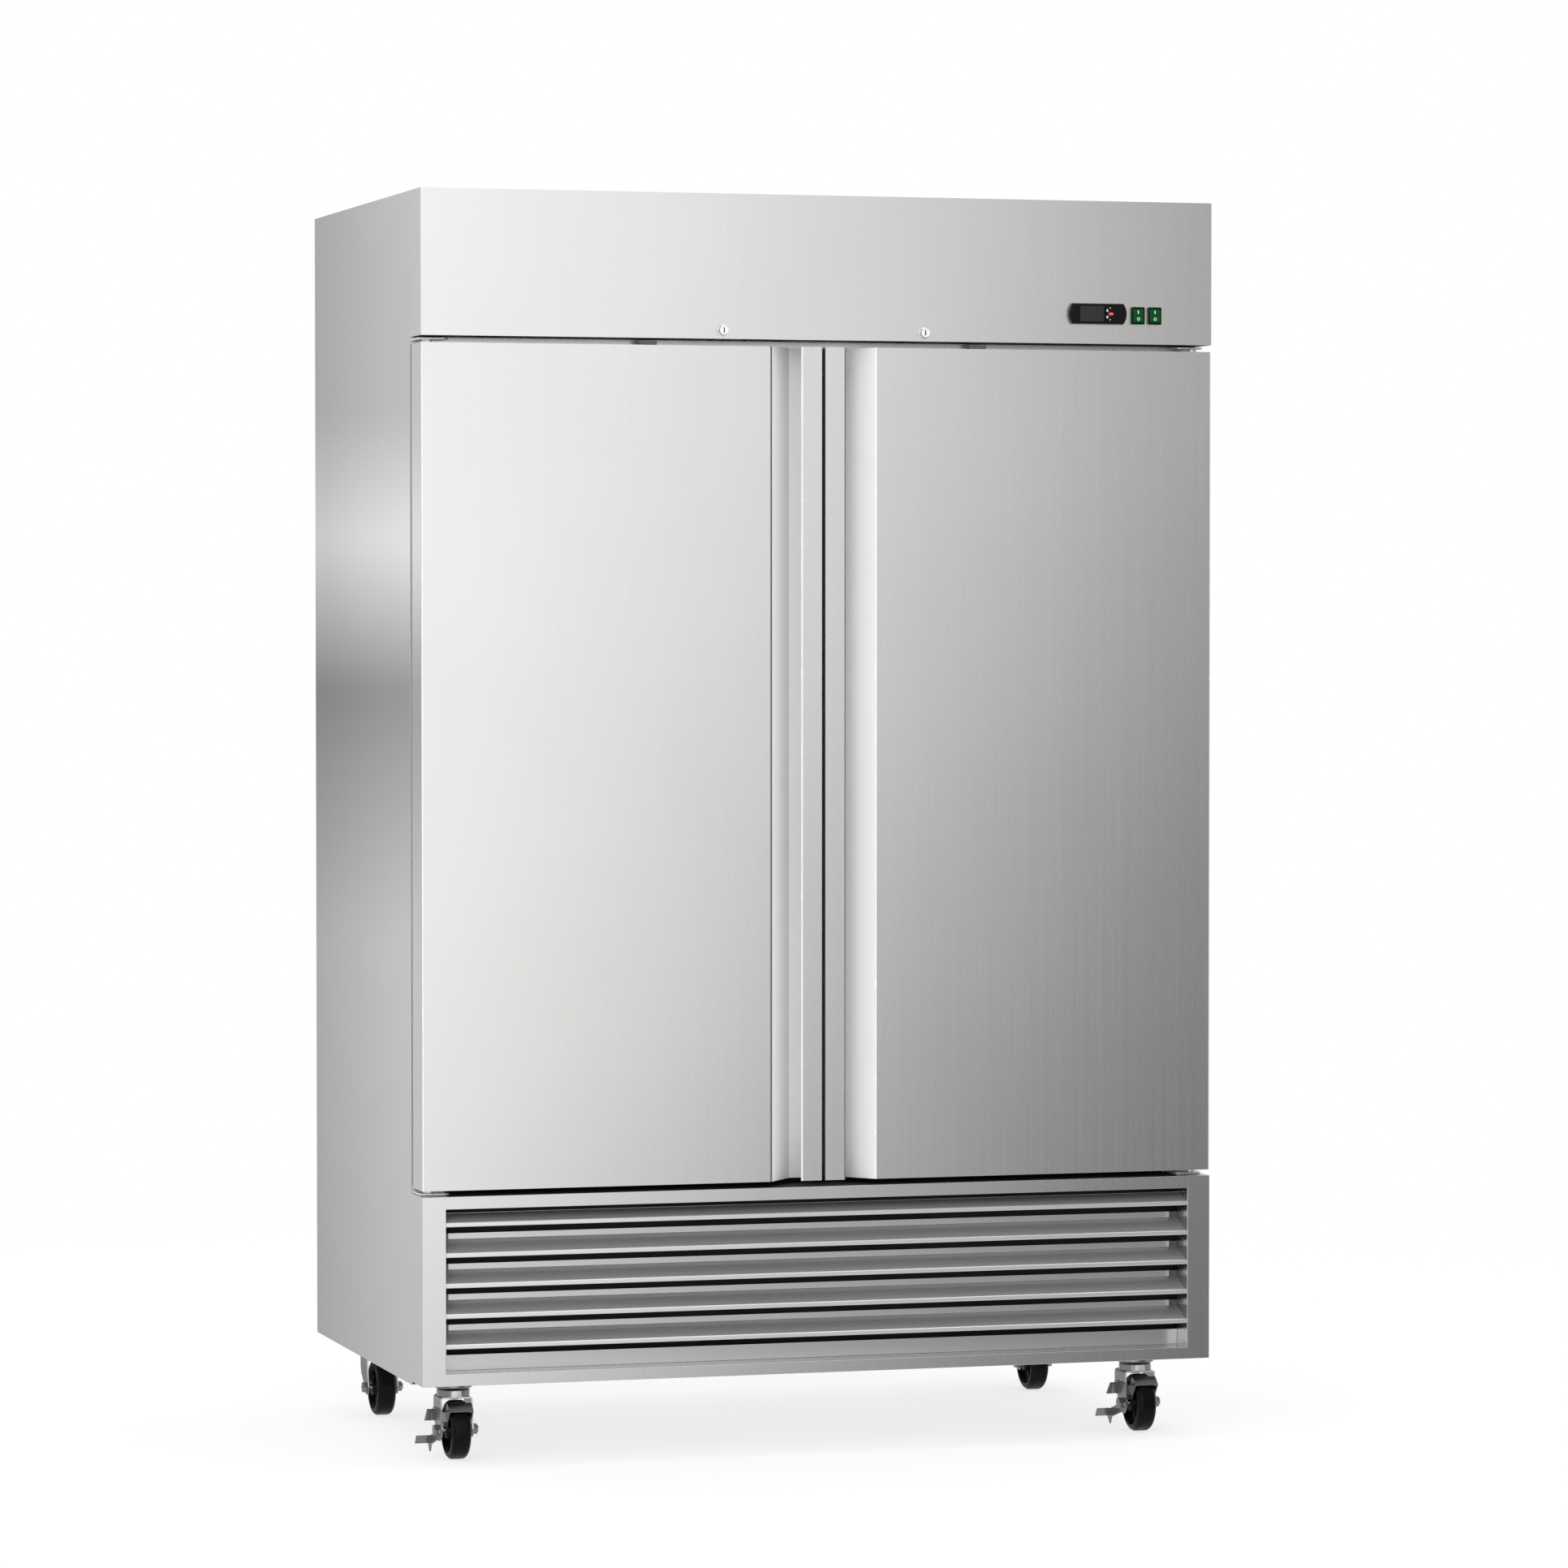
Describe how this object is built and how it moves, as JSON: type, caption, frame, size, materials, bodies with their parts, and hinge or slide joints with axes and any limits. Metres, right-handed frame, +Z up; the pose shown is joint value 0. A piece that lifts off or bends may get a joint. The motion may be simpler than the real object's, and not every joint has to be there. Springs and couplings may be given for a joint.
{
  "type": "reach in refrigerator",
  "caption": "Upright stainless reach-in refrigerator with two hinged solid doors, full-height grip channels, header controls, louvred base grille and braked casters.",
  "frame": {"origin": "centre of the footprint on the floor, under the casters", "axes": "+Z up, the doors face -Y, +X to the right seen from the front"},
  "size_m": [1.372, 0.8418, 2.098],
  "materials": {
    "stainless": "fine vertical brushed stainless steel",
    "stainless_bright": "bright folded stainless edges and louvres",
    "galvanised": "galvanised sheet",
    "liner_aluminium": "smooth aluminium liner",
    "foam": "rigid polyurethane foam",
    "gasket_vinyl": "dark grey magnetic vinyl gasket",
    "white_wire": "epoxy coated wire",
    "zinc": "bright zinc plated pressed steel",
    "wheel_black": "black polyurethane",
    "black_gloss": "glossy black plastic",
    "black_matte": "satin black plastic",
    "display_glass": "dark display window",
    "rocker_green": "green translucent plastic",
    "chrome_lock": "polished nickel plated lock",
    "copper": "drawn copper tube",
    "aluminium_fin": "aluminium fins",
    "compressor_black": "black enamel",
    "white_plastic": "white moulded plastic",
    "fan_plastic": "moulded fan"
  },
  "bodies": {
    "cabinet": {"left_side_panel": "stainless", "right_side_panel": "stainless", "top_panel": "stainless", "back_panel": "galvanised", "rear_grille": "galvanised", "face_frame": "stainless", "center_mullion": "stainless", "cabinet_foam": "foam", "interior_liner": "liner_aluminium", "shelf_standards": "zinc", "shelf_clips": "zinc", "wire_shelves": "white_wire", "evaporator_cover": "liner_aluminium", "evaporator_coil": "aluminium_fin", "interior_light": "white_plastic", "header_panel": "stainless", "lock_housings": "chrome_lock", "controller_housing": "black_gloss", "controller_display": "display_glass", "switch_frames": "black_matte", "hinge_brackets": "zinc", "door_switches": "black_matte", "grille_frame": "stainless", "grille_louvers": "stainless_bright", "air_filter": "black_matte", "base_tray": "galvanised", "compressor": "compressor_black", "condenser_coil": "aluminium_fin", "fan_shroud": "galvanised", "refrigerant_lines": "copper", "electrical_box": "galvanised", "drain_pan": "galvanised", "caster_plates": "zinc", "panel_screws": "zinc"},
    "left_door": {"left_door_skin": "stainless", "left_door_foam": "foam", "left_door_liner": "liner_aluminium", "left_door_gasket": "gasket_vinyl"},
    "right_door": {"right_door_skin": "stainless", "right_door_foam": "foam", "right_door_liner": "liner_aluminium", "right_door_gasket": "gasket_vinyl"},
    "left_lock_plug": {"left_lock_plug": "chrome_lock"},
    "right_lock_plug": {"right_lock_plug": "chrome_lock"},
    "light_rocker": {"light_rocker": "rocker_green"},
    "power_rocker": {"power_rocker": "rocker_green"},
    "up_button": {"up_button": "black_matte"},
    "down_button": {"down_button": "black_matte"},
    "evaporator_fan": {"evaporator_fan": "fan_plastic"},
    "condenser_fan": {"condenser_fan": "fan_plastic"},
    "front_left_fork": {"front_left_fork": "zinc"},
    "front_left_wheel": {"front_left_wheel": "wheel_black"},
    "front_left_brake": {"front_left_brake": "zinc"},
    "front_right_fork": {"front_right_fork": "zinc"},
    "front_right_wheel": {"front_right_wheel": "wheel_black"},
    "front_right_brake": {"front_right_brake": "zinc"},
    "rear_left_fork": {"rear_left_fork": "zinc"},
    "rear_left_wheel": {"rear_left_wheel": "wheel_black"},
    "rear_right_fork": {"rear_right_fork": "zinc"},
    "rear_right_wheel": {"rear_right_wheel": "wheel_black"}
  },
  "joints": [
    {"name": "left_door_hinge", "type": "hinge", "parent": "cabinet", "child": "left_door", "pos_m": [-0.666, -0.3681, 1.1523], "axis": [0, 0, -1], "range_deg": [0, 115]},
    {"name": "right_door_hinge", "type": "hinge", "parent": "cabinet", "child": "right_door", "pos_m": [0.666, -0.3681, 1.1523], "axis": [0, 0, 1], "range_deg": [0, 115]},
    {"name": "left_lock_turn", "type": "hinge", "parent": "cabinet", "child": "left_lock_plug", "pos_m": [-0.1747, -0.4091, 1.8719], "axis": [0, 1, 0], "range_deg": [0, 90]},
    {"name": "right_lock_turn", "type": "hinge", "parent": "cabinet", "child": "right_lock_plug", "pos_m": [0.1747, -0.4091, 1.8719], "axis": [0, 1, 0], "range_deg": [0, 90]},
    {"name": "light_rocker_tilt", "type": "hinge", "parent": "cabinet", "child": "light_rocker", "pos_m": [0.5526, -0.4071, 1.9057], "axis": [1, 0, 0], "range_deg": [0, 16]},
    {"name": "power_rocker_tilt", "type": "hinge", "parent": "cabinet", "child": "power_rocker", "pos_m": [0.5824, -0.4071, 1.9057], "axis": [1, 0, 0], "range_deg": [0, 16]},
    {"name": "up_button_press", "type": "slide", "parent": "cabinet", "child": "up_button", "axis": [0, 1, 0], "range_m": [0, 0.0008], "stiffness_N_per_m": 600},
    {"name": "down_button_press", "type": "slide", "parent": "cabinet", "child": "down_button", "axis": [0, 1, 0], "range_m": [0, 0.0008], "stiffness_N_per_m": 600},
    {"name": "evaporator_fan_spin", "type": "hinge", "parent": "cabinet", "child": "evaporator_fan", "pos_m": [0, 0.0729, 1.938], "axis": [0, 1, 0], "continuous": true},
    {"name": "condenser_fan_spin", "type": "hinge", "parent": "cabinet", "child": "condenser_fan", "pos_m": [-0.36, -0.1941, 0.292], "axis": [0, 1, 0], "continuous": true},
    {"name": "front_left_swivel", "type": "hinge", "parent": "cabinet", "child": "front_left_fork", "pos_m": [-0.602, -0.2701, 0.11], "axis": [0, 0, 1], "continuous": true},
    {"name": "front_left_roll", "type": "hinge", "parent": "front_left_fork", "child": "front_left_wheel", "pos_m": [-0.602, -0.2906, 0.049], "axis": [1, 0, 0], "continuous": true},
    {"name": "front_left_brake_tilt", "type": "hinge", "parent": "front_left_fork", "child": "front_left_brake", "pos_m": [-0.602, -0.2941, 0.047], "axis": [-1, 0, 0], "range_deg": [0, 13]},
    {"name": "front_right_swivel", "type": "hinge", "parent": "cabinet", "child": "front_right_fork", "pos_m": [0.602, -0.2701, 0.11], "axis": [0, 0, 1], "continuous": true},
    {"name": "front_right_roll", "type": "hinge", "parent": "front_right_fork", "child": "front_right_wheel", "pos_m": [0.602, -0.2906, 0.049], "axis": [1, 0, 0], "continuous": true},
    {"name": "front_right_brake_tilt", "type": "hinge", "parent": "front_right_fork", "child": "front_right_brake", "pos_m": [0.602, -0.2941, 0.047], "axis": [-1, 0, 0], "range_deg": [0, 13]},
    {"name": "rear_left_swivel", "type": "hinge", "parent": "cabinet", "child": "rear_left_fork", "pos_m": [-0.602, 0.2959, 0.11], "axis": [0, 0, 1], "continuous": true},
    {"name": "rear_left_roll", "type": "hinge", "parent": "rear_left_fork", "child": "rear_left_wheel", "pos_m": [-0.602, 0.2754, 0.049], "axis": [1, 0, 0], "continuous": true},
    {"name": "rear_right_swivel", "type": "hinge", "parent": "cabinet", "child": "rear_right_fork", "pos_m": [0.602, 0.2959, 0.11], "axis": [0, 0, 1], "continuous": true},
    {"name": "rear_right_roll", "type": "hinge", "parent": "rear_right_fork", "child": "rear_right_wheel", "pos_m": [0.602, 0.2754, 0.049], "axis": [1, 0, 0], "continuous": true}
  ]
}
